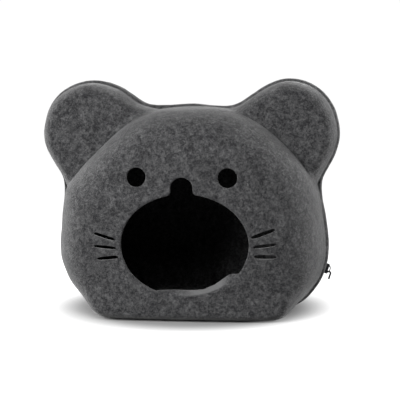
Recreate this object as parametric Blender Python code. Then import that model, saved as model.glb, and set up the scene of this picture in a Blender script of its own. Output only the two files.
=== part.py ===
"""Felt cat cave: two moulded felt half shells with round ears, joined round the rim by a zip.

The face looks along -Y, and the cave stands on its flat base at z = 0, centred on the origin.
Each half shell is a deep head dome joined to shallow ear lobes, hollowed to one thickness of felt,
with a narrow lip turned outward round its rim. Between the two lips runs the closed zip: a tape
behind each lip, and the chain of teeth flush with the lips' edges. All sizes are in metres.
"""

import math
from collections import namedtuple

import bmesh
import bpy
import numpy as np
from mathutils import Matrix, Vector

# Felt
WALL = 0.005
LIP_THICK = 0.005
GAP = 0.0003

# Half shells, as depths from the middle plane of the cave
RIM_Y = 0.0028
FRONT_DEPTH = 0.1500
BACK_DEPTH = 0.1487
FACE_SLOPE = math.radians(10)
FACE_CENTRE_X = 0.006
FACE_CENTRE_Z = 0.155
EAR_DEPTH = 0.064
EAR_LEAN = 0.003
EAR_ROUND = 0.019
EAR_SHOULDER = 0.044
OVERRUN = 0.010

# How finely the outlines and the rounded shoulders are divided
SPLINE_STEPS = 12
RIM_STEPS = 108
HEAD_STEPS = 84
SHOULDER_STEPS = 7
EAR_ROUND_STEPS = 4
FACE_RINGS = (0.66, 0.30)
# The dome, the ears and the lip run into each other at shallow angles, which EXACT can't always cut
SHELL_SOLVER = "MANIFOLD"

# Half outline of the rim, lips included, from the top centre round the right side to the base.
# lip is the width of the lip, and sink is how far the ear lobes draw in below the head dome.
RimPoint = namedtuple("RimPoint", "x z lip sink")
RIM = (
    RimPoint(0.0000, 0.3145, 0.0022, 0.012),
    RimPoint(0.0320, 0.3133, 0.0022, 0.006),
    RimPoint(0.0570, 0.3127, 0.0022, 0.000),
    RimPoint(0.0740, 0.3170, 0.0022, 0.000),
    RimPoint(0.0900, 0.3270, 0.0022, 0.000),
    RimPoint(0.1100, 0.3400, 0.0022, 0.000),
    RimPoint(0.1330, 0.3510, 0.0022, 0.000),
    RimPoint(0.1550, 0.3543, 0.0022, 0.000),
    RimPoint(0.1780, 0.3500, 0.0022, 0.000),
    RimPoint(0.2000, 0.3375, 0.0022, 0.000),
    RimPoint(0.2170, 0.3180, 0.0022, 0.000),
    RimPoint(0.2252, 0.2965, 0.0022, 0.000),
    RimPoint(0.2284, 0.2772, 0.0022, 0.000),
    RimPoint(0.2274, 0.2585, 0.0022, 0.000),
    RimPoint(0.2219, 0.2400, 0.0022, 0.000),
    RimPoint(0.2125, 0.2213, 0.0022, 0.000),
    RimPoint(0.2035, 0.2055, 0.0022, 0.000),
    RimPoint(0.2000, 0.1925, 0.0022, 0.003),
    RimPoint(0.2003, 0.1745, 0.0022, 0.009),
    RimPoint(0.2028, 0.1555, 0.0022, 0.014),
    RimPoint(0.2057, 0.1365, 0.0022, 0.016),
    RimPoint(0.2076, 0.1175, 0.0022, 0.016),
    RimPoint(0.2082, 0.0995, 0.0022, 0.016),
    RimPoint(0.2064, 0.0815, 0.0022, 0.016),
    RimPoint(0.2018, 0.0632, 0.0022, 0.016),
    RimPoint(0.1936, 0.0452, 0.0022, 0.016),
    RimPoint(0.1817, 0.0280, 0.0022, 0.016),
    RimPoint(0.1682, 0.0144, 0.0020, 0.016),
    RimPoint(0.1542, 0.0052, 0.0008, 0.016),
    RimPoint(0.1385, 0.0022, 0.0000, 0.016),
    RimPoint(0.1190, 0.0010, 0.0000, 0.016),
    RimPoint(0.0950, 0.0006, 0.0000, 0.016),
    RimPoint(0.0480, 0.0006, 0.0000, 0.016),
    RimPoint(0.0000, 0.0006, 0.0000, 0.016),
)

# Half outline of the head dome where it meets the lip, from the top centre to the base.
# lean is how far the side wall draws in before the shoulder. The shoulder is a quarter of an
# ellipse: round is how far it draws in, deep is how much of the depth it takes, and edge is how
# deep it ends.
HeadPoint = namedtuple("HeadPoint", "x z lean round deep edge")
HEAD = (
    HeadPoint(0.0000, 0.3123, 0.003, 0.052, 0.098, 0.140),
    HeadPoint(0.0450, 0.3096, 0.003, 0.052, 0.098, 0.140),
    HeadPoint(0.0760, 0.3030, 0.004, 0.053, 0.098, 0.140),
    HeadPoint(0.1010, 0.2920, 0.006, 0.054, 0.096, 0.140),
    HeadPoint(0.1260, 0.2755, 0.008, 0.056, 0.094, 0.139),
    HeadPoint(0.1490, 0.2550, 0.009, 0.058, 0.092, 0.138),
    HeadPoint(0.1670, 0.2350, 0.008, 0.060, 0.094, 0.138),
    HeadPoint(0.1810, 0.2165, 0.007, 0.062, 0.096, 0.137),
    HeadPoint(0.1905, 0.1995, 0.006, 0.062, 0.098, 0.137),
    HeadPoint(0.1965, 0.1820, 0.006, 0.062, 0.098, 0.137),
    HeadPoint(0.2005, 0.1555, 0.006, 0.062, 0.098, 0.137),
    HeadPoint(0.2032, 0.1365, 0.007, 0.062, 0.098, 0.137),
    HeadPoint(0.2054, 0.1175, 0.007, 0.062, 0.097, 0.137),
    HeadPoint(0.2060, 0.0995, 0.007, 0.060, 0.095, 0.136),
    HeadPoint(0.2042, 0.0815, 0.007, 0.056, 0.090, 0.135),
    HeadPoint(0.1997, 0.0640, 0.008, 0.051, 0.083, 0.134),
    HeadPoint(0.1918, 0.0462, 0.009, 0.044, 0.074, 0.133),
    HeadPoint(0.1804, 0.0292, 0.012, 0.035, 0.062, 0.133),
    HeadPoint(0.1672, 0.0158, 0.012, 0.027, 0.051, 0.134),
    HeadPoint(0.1535, 0.0066, 0.008, 0.021, 0.043, 0.136),
    HeadPoint(0.1385, 0.0014, 0.003, 0.016, 0.037, 0.138),
    HeadPoint(0.1190, -0.0004, 0.000, 0.013, 0.033, 0.140),
    HeadPoint(0.0900, -0.0004, 0.000, 0.012, 0.030, 0.142),
    HeadPoint(0.0480, -0.0004, 0.000, 0.012, 0.030, 0.144),
    HeadPoint(0.0000, -0.0004, 0.000, 0.012, 0.030, 0.145),
)

# How far the outlines lean to the right of the middle at each height: the body sits a little to
# the right of the middle between the ears.
SwayPoint = namedtuple("SwayPoint", "z rim head")
SWAY = (
    SwayPoint(0.000, 0.0105, 0.0105),
    SwayPoint(0.100, 0.0055, 0.0055),
    SwayPoint(0.190, 0.0020, 0.0040),
    SwayPoint(0.215, 0.0012, 0.0085),
    SwayPoint(0.250, 0.0001, 0.0115),
)

# How far the top of the rim lies below the mirrored table from left to right, as the two ears
# aren't quite alike, and the heights between which this fades in.
TopPoint = namedtuple("TopPoint", "x drop")
TOP = (
    TopPoint(-0.225, 0.0030),
    TopPoint(-0.206, 0.0042),
    TopPoint(-0.190, 0.0044),
    TopPoint(-0.165, 0.0040),
    TopPoint(-0.145, 0.0032),
    TopPoint(-0.132, 0.0018),
    TopPoint(-0.119, 0.0000),
    TopPoint(-0.105, -0.0020),
    TopPoint(-0.090, -0.0020),
    TopPoint(-0.075, -0.0013),
    TopPoint(-0.055, -0.0005),
    TopPoint(-0.030, 0.0002),
    TopPoint(0.003, -0.0008),
    TopPoint(0.030, 0.0004),
    TopPoint(0.060, 0.0008),
    TopPoint(0.085, 0.0005),
    TopPoint(0.110, 0.0000),
    TopPoint(0.140, 0.0003),
    TopPoint(0.165, 0.0010),
    TopPoint(0.185, 0.0013),
    TopPoint(0.200, 0.0021),
    TopPoint(0.215, 0.0028),
    TopPoint(0.230, 0.0030),
)
TOP_FROM = (0.220, 0.300)

# Face, cut through the front
MOUTH_CENTRE = (0.0060, 0.1125)
MOUTH_HALF_WIDTH = 0.0926
MOUTH_HALF_HEIGHT = 0.0740
MOUTH_STEPS = 48
NOSE_RADIUS = 0.0160
NOSE_X = 0.0020
NOSE_CENTRE_Z = 0.1945
NOSE_FILLET = 0.0060
NOSE_STEPS = 10
FILLET_STEPS = 4
EYE_RADIUS = 0.0140
EYES_APART = 0.1320
EYE_Z = 0.2102
EYE_SIDES = 24
# Half the width of a slit, as a share, at each share of its length
WHISKER_TAPER = ((0.0, 0.35), (0.15, 0.95), (0.5, 1.0), (0.85, 0.90), (1.0, 0.30))
Whisker = namedtuple("Whisker", "x_in z_in x_out z_out width")
WHISKERS = (
    Whisker(-0.0952, 0.1194, -0.1269, 0.1284, 0.0033),
    Whisker(-0.0936, 0.1073, -0.1271, 0.1096, 0.0030),
    Whisker(-0.0907, 0.0946, -0.1222, 0.0907, 0.0034),
    Whisker(0.1015, 0.1242, 0.1357, 0.1363, 0.0040),
    Whisker(0.1049, 0.1109, 0.1375, 0.1149, 0.0033),
    Whisker(0.1058, 0.0972, 0.1380, 0.0966, 0.0042),
)
CUTTER_NEAR = -0.200
CUTTER_FAR = -0.100

# Zip
CHAIN_RECESS = 0.0004
CHAIN_DEPTH = 0.0030
CHAIN_HALF_WIDTH = 0.0025
TAPE_THICK = 0.0010
TAPE_WIDTH = 0.0085
LOWEST_PLACE = 0.0200
SLIDER_Z = 0.0600
SLIDER_THICK = 0.0034
# Half width of the slider's body at each distance up from its middle
SliderPoint = namedtuple("SliderPoint", "up half_width")
SLIDER_PLAN = (
    SliderPoint(-0.0075, 0.0035),
    SliderPoint(-0.0022, 0.0035),
    SliderPoint(0.0034, 0.0048),
    SliderPoint(0.0075, 0.0038),
)
BRIDGE_REACH = 0.0060
BRIDGE_WIDTH = 0.0030
BRIDGE_SLOT = 0.0020
BRIDGE_WIRE = 0.0014
LINK_WIRE = 0.0013
LINK_LENGTH = 0.0060
SHANK_INSET = 0.0001
TAB_LENGTH = 0.0065
TAB_WIDTH = 0.0045
TAB_THICK = 0.0024
TAB_OVERLAP = 0.0005
EYE_OVERRUN = 0.0010

FELT_COLOUR = (0.078, 0.078, 0.080, 1.0)
TAPE_COLOUR = (0.022, 0.022, 0.024, 1.0)
CHAIN_COLOUR = (0.016, 0.016, 0.018, 1.0)
METAL_COLOUR = (0.060, 0.060, 0.065, 1.0)


# Outlines

def whole_outline(half, count):
    """A half table mirrored and run through a smooth closed curve, as evenly spaced rows."""
    rows = [np.array(row) for row in half]
    mirror = np.array([-1.0] + [1.0] * (len(rows[0]) - 1))
    rows += [row * mirror for row in reversed(rows[1:-1])]
    total = len(rows)
    fine = []
    for i in range(total):
        before, start, end, after = (rows[(i + k) % total] for k in (-1, 0, 1, 2))
        for step in range(SPLINE_STEPS):
            u = step / SPLINE_STEPS
            fine.append(0.5 * (2 * start + (end - before) * u
                               + (2 * before - 5 * start + 4 * end - after) * u * u
                               + (3 * start - before - 3 * end + after) * u ** 3))
    fine.append(fine[0])
    fine = np.array(fine)
    travelled = np.concatenate([[0], np.cumsum(np.hypot(*np.diff(fine[:, :2], axis=0).T))])
    wanted = np.arange(count) * travelled[-1] / count
    even = np.column_stack([np.interp(wanted, travelled, column) for column in fine.T])
    even[:, 1:] = np.maximum(even[:, 1:], 0.0)
    return even


def outward(outline):
    """Unit normals in the XZ plane that point out of a clockwise outline."""
    along = np.roll(outline[:, :2], -1, axis=0) - np.roll(outline[:, :2], 1, axis=0)
    normal = np.column_stack([-along[:, 1], along[:, 0]])
    return normal / np.linalg.norm(normal, axis=1)[:, None]


def drawn_in(outline, inset):
    """The outline's points moved inward by an inset that may differ from point to point."""
    return outline[:, :2] - outward(outline) * np.reshape(inset, (-1, 1))


def swayed(outline, column):
    """The outline moved sideways by its own column of the sway table."""
    heights, shifts = [row.z for row in SWAY], [getattr(row, column) for row in SWAY]
    outline[:, 0] += np.interp(outline[:, 1], heights, shifts)
    return outline


def lowered(outline):
    """The outline with its top lowered by the top table."""
    share = np.interp(outline[:, 1], TOP_FROM, (0.0, 1.0))
    drop = np.interp(outline[:, 0], [row.x for row in TOP], [row.drop for row in TOP])
    outline[:, 1] -= share * drop
    return outline


RIM_OUTLINE = lowered(swayed(whole_outline(RIM, RIM_STEPS), "rim"))
RIM_LIP, RIM_SINK = RIM_OUTLINE[:, 2:].T
HEAD_OUTLINE = swayed(whole_outline(HEAD, HEAD_STEPS), "head")
HEAD_LEAN, HEAD_ROUND, HEAD_DEEP, HEAD_EDGE = HEAD_OUTLINE[:, 2:].T


# Solids

def plain_material(name, colour, roughness, metallic=0.0):
    """A plain Principled material."""
    material = bpy.data.materials.new(name)
    material.use_nodes = True
    shader = material.node_tree.nodes["Principled BSDF"]
    shader.inputs["Base Color"].default_value = colour
    shader.inputs["Roughness"].default_value = roughness
    shader.inputs["Metallic"].default_value = metallic
    material.diffuse_color = colour
    return material


def add_object(name, bm, material=None, place=None):
    """Link a bmesh to the scene as one object with its faces pointing outward, at its place."""
    bmesh.ops.recalc_face_normals(bm, faces=bm.faces)
    mesh = bpy.data.meshes.new(name)
    bm.to_mesh(mesh)
    bm.free()
    obj = bpy.data.objects.new(name, mesh)
    bpy.context.collection.objects.link(obj)
    if place:
        obj.matrix_world = place
    if material:
        mesh.materials.append(material)
    return obj


def add_cutter(name, bm, place=None):
    """A hidden object that other solids are cut or joined with."""
    obj = add_object(name, bm, place=place)
    obj.hide_render = True
    obj.display_type = "WIRE"
    return obj


def loft(rings, tip=None):
    """A solid that starts as the first ring's face and is extruded through the other rings."""
    bm = bmesh.new()
    face = bm.faces.new([bm.verts.new(point) for point in rings[0]])
    for number, ring in enumerate(rings[1:]):
        passed = face
        grown = bmesh.ops.extrude_face_region(bm, geom=[passed])
        face = next(item for item in grown["geom"] if isinstance(item, bmesh.types.BMFace))
        if number:
            bmesh.ops.delete(bm, geom=[passed], context="FACES_ONLY")
        for vert, point in zip(face.verts, ring):
            vert.co = point
    if tip:
        poked = bmesh.ops.poke(bm, faces=[face])
        poked["verts"][0].co = tip
    return bm


def ring_at(points, depth, side):
    """Points of the XZ plane set at a depth in front of (side -1) or behind (side 1) the middle."""
    return [Vector((x, side * depth, z)) for x, z in points]


def head_form(side, inside):
    """The head dome's outer form, or the hollow inside it, one thickness of felt smaller."""
    felt = WALL if inside else 0.0
    last_turn = np.arctan2(HEAD_DEEP, HEAD_ROUND * math.tan(FACE_SLOPE))
    shoulder_depth = HEAD_EDGE - HEAD_DEEP * np.sin(last_turn)
    rings = [ring_at(drawn_in(HEAD_OUTLINE, felt), -OVERRUN * (2 if inside else 1), side)]
    for step in range(SHOULDER_STEPS + 1):
        turn = last_turn * step / SHOULDER_STEPS
        inset = HEAD_LEAN + HEAD_ROUND - (HEAD_ROUND - felt) * np.cos(turn)
        depth = shoulder_depth + (HEAD_DEEP - felt) * np.sin(turn)
        points = drawn_in(HEAD_OUTLINE, inset)
        rings.append([Vector((x, side * d, z)) for (x, z), d in zip(points, depth)])
    depth = FRONT_DEPTH if side < 0 else BACK_DEPTH
    middle = Vector((FACE_CENTRE_X, side * (depth - felt), FACE_CENTRE_Z))
    edge = rings[-1]
    for share in FACE_RINGS:
        rise = 1 - share ** 2
        rings.append([Vector((middle.x + (p.x - middle.x) * share,
                              p.y + (middle.y - p.y) * rise,
                              middle.z + (p.z - middle.z) * share)) for p in edge])
    return loft(rings, middle)


def ear_form(side, inside):
    """The shallow ear lobes' outer form, or their hollow. Away from the ears it hides in the head."""
    felt = WALL if inside else 0.0
    foot = RIM_LIP + RIM_SINK + felt
    rings = [ring_at(drawn_in(RIM_OUTLINE, foot), -OVERRUN * (2 if inside else 1), side)]
    for step in range(EAR_ROUND_STEPS + 1):
        turn = math.pi / 2 * step / EAR_ROUND_STEPS
        inset = foot + EAR_LEAN + (EAR_ROUND - felt) * (1 - math.cos(turn))
        depth = EAR_DEPTH - EAR_SHOULDER + (EAR_SHOULDER - felt) * math.sin(turn)
        rings.append(ring_at(drawn_in(RIM_OUTLINE, inset), depth, side))
    return loft(rings)


def lip_form(side):
    """The lip's outer form: a flat plate with the outline of the whole rim."""
    points = RIM_OUTLINE[:, :2]
    return loft([ring_at(points, -OVERRUN, side), ring_at(points, RIM_Y + LIP_THICK, side)])


def mouth_outline():
    """The opening: an ellipse with the round nose rising from its top through two fillets."""
    centre_x, centre_z = MOUTH_CENTRE
    reach = NOSE_RADIUS + NOSE_FILLET
    turns = {side: math.acos((NOSE_X + side * reach - centre_x) / MOUTH_HALF_WIDTH)
             for side in (-1, 1)}
    around = 2 * math.pi - (turns[-1] - turns[1])
    points = []
    for step in range(MOUTH_STEPS + 1):
        turn = turns[1] - around * step / MOUTH_STEPS
        points.append((centre_x + MOUTH_HALF_WIDTH * math.cos(turn),
                       centre_z + MOUTH_HALF_HEIGHT * math.sin(turn)))
    fillets = {}
    for side in (-1, 1):
        foot_z = centre_z + MOUTH_HALF_HEIGHT * math.sin(turns[side])
        bends = [math.pi / 2 * k / FILLET_STEPS for k in range(1, FILLET_STEPS + 1)]
        fillets[side] = [(NOSE_X + side * (reach - NOSE_FILLET * math.sin(bend)),
                          foot_z + NOSE_FILLET * (1 - math.cos(bend))) for bend in bends]
    turns = [math.pi * k / NOSE_STEPS for k in range(NOSE_STEPS + 1)]
    nose = [(NOSE_X - NOSE_RADIUS * math.cos(turn), NOSE_CENTRE_Z + NOSE_RADIUS * math.sin(turn))
            for turn in turns]
    return points + fillets[-1] + nose + fillets[1][::-1]


def through_cutter(points):
    """A prism that passes through the front wall of the face."""
    return loft([[Vector((x, y, z)) for x, z in points] for y in (CUTTER_NEAR, CUTTER_FAR)])


def whisker_outline(whisker):
    """A slit that tapers to a blunt point at each end."""
    start = Vector((whisker.x_in, whisker.z_in))
    end = Vector((whisker.x_out, whisker.z_out))
    along = (end - start).normalized()
    across = Vector((-along.y, along.x)) * whisker.width / 2
    upper = [start.lerp(end, u) + across * w for u, w in WHISKER_TAPER]
    lower = [start.lerp(end, u) - across * w for u, w in reversed(WHISKER_TAPER)]
    return [tuple(point) for point in upper + lower]


def apply_boolean(target, tool, operation, solver="EXACT"):
    """Join or cut the target with another object by a Boolean modifier."""
    step = target.modifiers.new(tool.name, "BOOLEAN")
    step.operation = operation
    step.solver = solver
    step.object = tool


def shape_shell(shell, name, form, operation="DIFFERENCE"):
    """Cut a felt shell with a form, or join it to one."""
    apply_boolean(shell, add_cutter(name, form), operation, SHELL_SOLVER)


def half_shell(name, side, felt):
    """One moulded half: head dome, ears and lip in one felt wall, open at the middle plane."""
    shell = add_object(name, head_form(side, False), felt)
    shape_shell(shell, f"{name}_ears", ear_form(side, False), "UNION")
    shape_shell(shell, f"{name}_lip", lip_form(side), "UNION")
    shape_shell(shell, f"{name}_head_hollow", head_form(side, True))
    shape_shell(shell, f"{name}_ear_hollow", ear_form(side, True))
    trim = bmesh.new()
    bmesh.ops.create_cube(trim, size=1.0, matrix=Matrix.Translation((0, -side * (0.5 - RIM_Y), 0)))
    shape_shell(shell, f"{name}_trim", trim)
    return shell


def cut_face(shell):
    """Cut the opening, the eyes and the whiskers through the front."""
    shape_shell(shell, "cut_mouth", through_cutter(mouth_outline()))
    for side, label in ((-1, "left"), (1, "right")):
        x = NOSE_X + side * EYES_APART / 2
        turns = (2 * math.pi * k / EYE_SIDES for k in range(EYE_SIDES))
        points = [(x + EYE_RADIUS * math.cos(t), EYE_Z + EYE_RADIUS * math.sin(t)) for t in turns]
        shape_shell(shell, f"cut_eye_{label}", through_cutter(points))
    for number, whisker in enumerate(WHISKERS, 1):
        shape_shell(shell, f"cut_whisker_{number}", through_cutter(whisker_outline(whisker)))


def rim_band(name, inset_out, inset_in, y_from, y_to, material):
    """A closed flat band that follows the rim between two insets."""
    outer = drawn_in(RIM_OUTLINE, np.full(RIM_STEPS, inset_out))
    inner = drawn_in(RIM_OUTLINE, np.full(RIM_STEPS, inset_in))
    bm = bmesh.new()
    corners = [[bm.verts.new((x, y, z)) for x, z in points]
               for points, y in ((outer, y_from), (outer, y_to), (inner, y_to), (inner, y_from))]
    for here, there in zip(corners, corners[1:] + corners[:1]):
        for i in range(RIM_STEPS):
            k = (i + 1) % RIM_STEPS
            bm.faces.new((here[i], here[k], there[k], there[i]))
    return add_object(name, bm, material)


def rim_place(height):
    """Place on the rim's right side at a height, with x up the rim, y along Y and z outward."""
    right = [i for i in range(RIM_STEPS // 2) if RIM_OUTLINE[i, 1] > LOWEST_PLACE]
    i = min(right, key=lambda k: abs(RIM_OUTLINE[k, 1] - height))
    out = outward(RIM_OUTLINE)[i]
    turn = Matrix(((-out[1], 0, out[0]), (0, 1, 0), (out[0], 0, out[1]))).transposed().to_4x4()
    return Matrix.Translation((RIM_OUTLINE[i, 0], 0.0, RIM_OUTLINE[i, 1])) @ turn


def block(low, high):
    """A box between two corners."""
    bm = bmesh.new()
    middle = [(a + b) / 2 for a, b in zip(low, high)]
    size = [b - a for a, b in zip(low, high)]
    bmesh.ops.create_cube(bm, size=1.0, matrix=Matrix.Translation(middle) @ Matrix.Diagonal((*size, 1)))
    return bm


def slider(metal, place):
    """The zip's slider: a tapered body outside the chain, with a bridge for the pull."""
    top = GAP + SLIDER_THICK
    plan = [(p.up, -p.half_width) for p in SLIDER_PLAN]
    plan += [(p.up, p.half_width) for p in reversed(SLIDER_PLAN)]
    bm = loft([[Vector((x, y, z)) for x, y in plan] for z in (GAP, top)])
    body = add_object("zip_slider", bm, metal, place)
    foot, outer, inner = SLIDER_THICK, BRIDGE_REACH, BRIDGE_REACH - BRIDGE_WIRE
    low, high = top + BRIDGE_SLOT, top + BRIDGE_SLOT + BRIDGE_WIRE
    arch = ((-outer, foot), (-outer, low), (-inner, high), (inner, high), (outer, low),
            (outer, foot), (inner, foot), (inner, low), (-inner, low), (-inner, foot))
    bridge = loft([[Vector((x, y, z)) for x, z in arch] for y in (-BRIDGE_WIDTH / 2, BRIDGE_WIDTH / 2)])
    apply_boolean(body, add_cutter("zip_slider_bridge", bridge, place), "UNION")


def pull(metal, place):
    """The pull: a link round the bridge's lower end, and a short tab that hangs from it."""
    top = GAP + SLIDER_THICK
    link_x = BRIDGE_WIRE + GAP - BRIDGE_REACH
    inner_y = BRIDGE_WIDTH / 2 + GAP
    inner_low = top + GAP + LINK_WIRE
    inner_high = top + BRIDGE_SLOT + BRIDGE_WIRE + GAP
    outer_high = inner_high + LINK_WIRE
    link = block((link_x, -inner_y - LINK_WIRE, top + GAP),
                 (link_x + LINK_WIRE, inner_y + LINK_WIRE, outer_high))
    body = add_object("zip_pull", link, metal, place)
    eye = block((link_x - EYE_OVERRUN, -inner_y, inner_low),
                (link_x + LINK_WIRE + EYE_OVERRUN, inner_y, inner_high))
    apply_boolean(body, add_cutter("zip_pull_eye", eye, place), "DIFFERENCE")
    shank = block((link_x - LINK_LENGTH, -LINK_WIRE / 2, inner_high + SHANK_INSET),
                  (link_x + LINK_WIRE / 2, LINK_WIRE / 2, outer_high - SHANK_INSET))
    apply_boolean(body, add_cutter("zip_pull_shank", shank, place), "UNION")
    middle = (inner_high + outer_high) / 2
    tab = block((link_x - LINK_LENGTH - TAB_LENGTH, -TAB_WIDTH / 2, middle - TAB_THICK / 2),
                (link_x - LINK_LENGTH + TAB_OVERLAP, TAB_WIDTH / 2, middle + TAB_THICK / 2))
    apply_boolean(body, add_cutter("zip_pull_tab", tab, place), "UNION")


def main():
    """Build the cave from an empty scene."""
    for obj in list(bpy.data.objects):
        bpy.data.objects.remove(obj)
    felt = plain_material("grey_felt", FELT_COLOUR, 0.95)
    tape = plain_material("zip_tape", TAPE_COLOUR, 0.85)
    chain = plain_material("zip_chain", CHAIN_COLOUR, 0.45)
    metal = plain_material("zip_metal", METAL_COLOUR, 0.40, 0.8)
    cut_face(half_shell("front_shell", -1, felt))
    half_shell("back_shell", 1, felt)
    rim_band("zip_chain", CHAIN_RECESS, CHAIN_RECESS + CHAIN_DEPTH,
             -CHAIN_HALF_WIDTH, CHAIN_HALF_WIDTH, chain)
    tape_from = CHAIN_RECESS + CHAIN_DEPTH + GAP
    for label, side in (("front", -1), ("back", 1)):
        near, far = side * (RIM_Y - GAP), side * (RIM_Y - GAP - TAPE_THICK)
        rim_band(f"zip_tape_{label}", tape_from, tape_from + TAPE_WIDTH, near, far, tape)
    slider(metal, rim_place(SLIDER_Z))
    pull(metal, rim_place(SLIDER_Z))


main()
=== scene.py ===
"""A round-eared felt cat cave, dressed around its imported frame.

Two moulded shells of grey melange felt are zipped together round the rim. The front shell has the
entrance with its round nose, two eyes and six whisker slits cut through it. Everything is in
metres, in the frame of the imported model: the cave stands on z = 0 and its face looks along -Y.
"""

import logging
import math
from dataclasses import dataclass, field
from enum import Enum
from typing import NamedTuple

import bmesh
import bpy
import numpy as np
from mathutils import Matrix, Vector, noise
from mathutils.kdtree import KDTree


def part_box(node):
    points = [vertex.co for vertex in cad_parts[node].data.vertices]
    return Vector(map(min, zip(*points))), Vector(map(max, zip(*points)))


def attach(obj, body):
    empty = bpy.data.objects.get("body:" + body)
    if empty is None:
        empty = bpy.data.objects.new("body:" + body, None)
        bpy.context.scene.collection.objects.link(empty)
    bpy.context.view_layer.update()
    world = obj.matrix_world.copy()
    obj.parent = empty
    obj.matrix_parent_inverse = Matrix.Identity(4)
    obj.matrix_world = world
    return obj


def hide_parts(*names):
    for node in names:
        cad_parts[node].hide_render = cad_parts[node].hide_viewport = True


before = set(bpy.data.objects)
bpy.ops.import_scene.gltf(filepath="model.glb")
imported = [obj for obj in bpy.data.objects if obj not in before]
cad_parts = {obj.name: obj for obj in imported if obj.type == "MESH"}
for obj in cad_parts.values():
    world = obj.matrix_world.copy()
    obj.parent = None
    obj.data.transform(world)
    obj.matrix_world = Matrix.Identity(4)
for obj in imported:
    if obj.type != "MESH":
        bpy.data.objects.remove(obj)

LOG = logging.getLogger("cat_cave")
BODY = "root"
CLEARANCE = 0.0003
# Name of the vertex layer that holds the painted highlight on the bent-in flap of the entrance.
PAINTED_HIGHLIGHT = "painted_highlight"
METAL_EDGE = 0.0007
BACK_DEPTH = 0.1487


class Half(Enum):
    """The two halves of the cave, as the side of the middle plane that each lies on."""

    FRONT = -1
    BACK = 1

    @property
    def label(self) -> str:
        """The half's name as the nodes use it."""
        return self.name.lower()


class RimPoint(NamedTuple):
    """A place on the rim's half outline: how far the ears draw in there, and the lip's width."""

    x: float
    z: float
    sink: float
    lip: float = 0.0022


class HeadPoint(NamedTuple):
    """A place on the dome's half outline: how far the wall leans in, and its elliptic shoulder."""

    x: float
    z: float
    lean: float
    round: float
    deep: float
    edge: float


class SwayPoint(NamedTuple):
    """How far the rim's and the dome's outlines lean to the right at a height."""

    z: float
    rim: float
    head: float


class TopPoint(NamedTuple):
    """How far the top of the rim lies below the mirrored table at a place from left to right."""

    x: float
    drop: float


class Whisker(NamedTuple):
    """A slit from its inner to its outer end."""

    x_in: float
    z_in: float
    x_out: float
    z_out: float
    width: float


RIM = tuple(RimPoint(*row) for row in (
    (0.0000, 0.3145, 0.012), (0.0320, 0.3133, 0.006), (0.0570, 0.3127, 0.000),
    (0.0740, 0.3170, 0.000), (0.0900, 0.3270, 0.000), (0.1100, 0.3400, 0.000),
    (0.1330, 0.3510, 0.000), (0.1550, 0.3543, 0.000), (0.1780, 0.3500, 0.000),
    (0.2000, 0.3375, 0.000), (0.2170, 0.3180, 0.000), (0.2252, 0.2965, 0.000),
    (0.2284, 0.2772, 0.000), (0.2274, 0.2585, 0.000), (0.2219, 0.2400, 0.000),
    (0.2125, 0.2213, 0.000), (0.2035, 0.2055, 0.000), (0.2000, 0.1925, 0.003),
    (0.2003, 0.1745, 0.009), (0.2028, 0.1555, 0.014), (0.2057, 0.1365, 0.016),
    (0.2076, 0.1175, 0.016), (0.2082, 0.0995, 0.016), (0.2064, 0.0815, 0.016),
    (0.2018, 0.0632, 0.016), (0.1936, 0.0452, 0.016), (0.1817, 0.0280, 0.016),
    (0.1682, 0.0144, 0.016, 0.0020), (0.1542, 0.0052, 0.016, 0.0008),
    (0.1385, 0.0022, 0.016, 0.0000), (0.1190, 0.0010, 0.016, 0.0000),
    (0.0950, 0.0006, 0.016, 0.0000), (0.0480, 0.0006, 0.016, 0.0000),
    (0.0000, 0.0006, 0.016, 0.0000),
))

HEAD = tuple(HeadPoint(*row) for row in (
    (0.0000, 0.3123, 0.003, 0.052, 0.098, 0.140), (0.0450, 0.3096, 0.003, 0.052, 0.098, 0.140),
    (0.0760, 0.3030, 0.004, 0.053, 0.098, 0.140), (0.1010, 0.2920, 0.006, 0.054, 0.096, 0.140),
    (0.1260, 0.2755, 0.008, 0.056, 0.094, 0.139), (0.1490, 0.2550, 0.009, 0.058, 0.092, 0.138),
    (0.1670, 0.2350, 0.008, 0.060, 0.094, 0.138), (0.1810, 0.2165, 0.007, 0.062, 0.096, 0.137),
    (0.1905, 0.1995, 0.006, 0.062, 0.098, 0.137), (0.1965, 0.1820, 0.006, 0.062, 0.098, 0.137),
    (0.2005, 0.1555, 0.006, 0.062, 0.098, 0.137), (0.2032, 0.1365, 0.007, 0.062, 0.098, 0.137),
    (0.2054, 0.1175, 0.007, 0.062, 0.097, 0.137), (0.2060, 0.0995, 0.007, 0.060, 0.095, 0.136),
    (0.2042, 0.0815, 0.007, 0.056, 0.090, 0.135), (0.1997, 0.0640, 0.008, 0.051, 0.083, 0.134),
    (0.1918, 0.0462, 0.009, 0.044, 0.074, 0.133), (0.1804, 0.0292, 0.012, 0.035, 0.062, 0.133),
    (0.1672, 0.0158, 0.012, 0.027, 0.051, 0.134), (0.1535, 0.0066, 0.008, 0.021, 0.043, 0.136),
    (0.1385, 0.0014, 0.003, 0.016, 0.037, 0.138), (0.1190, -0.0004, 0.000, 0.013, 0.033, 0.140),
    (0.0900, -0.0004, 0.000, 0.012, 0.030, 0.142), (0.0480, -0.0004, 0.000, 0.012, 0.030, 0.144),
    (0.0000, -0.0004, 0.000, 0.012, 0.030, 0.145),
))

SWAY = tuple(SwayPoint(*row) for row in (
    (0.000, 0.0105, 0.0105), (0.100, 0.0055, 0.0055), (0.190, 0.0020, 0.0040),
    (0.215, 0.0012, 0.0085), (0.250, 0.0001, 0.0115),
))

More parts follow.
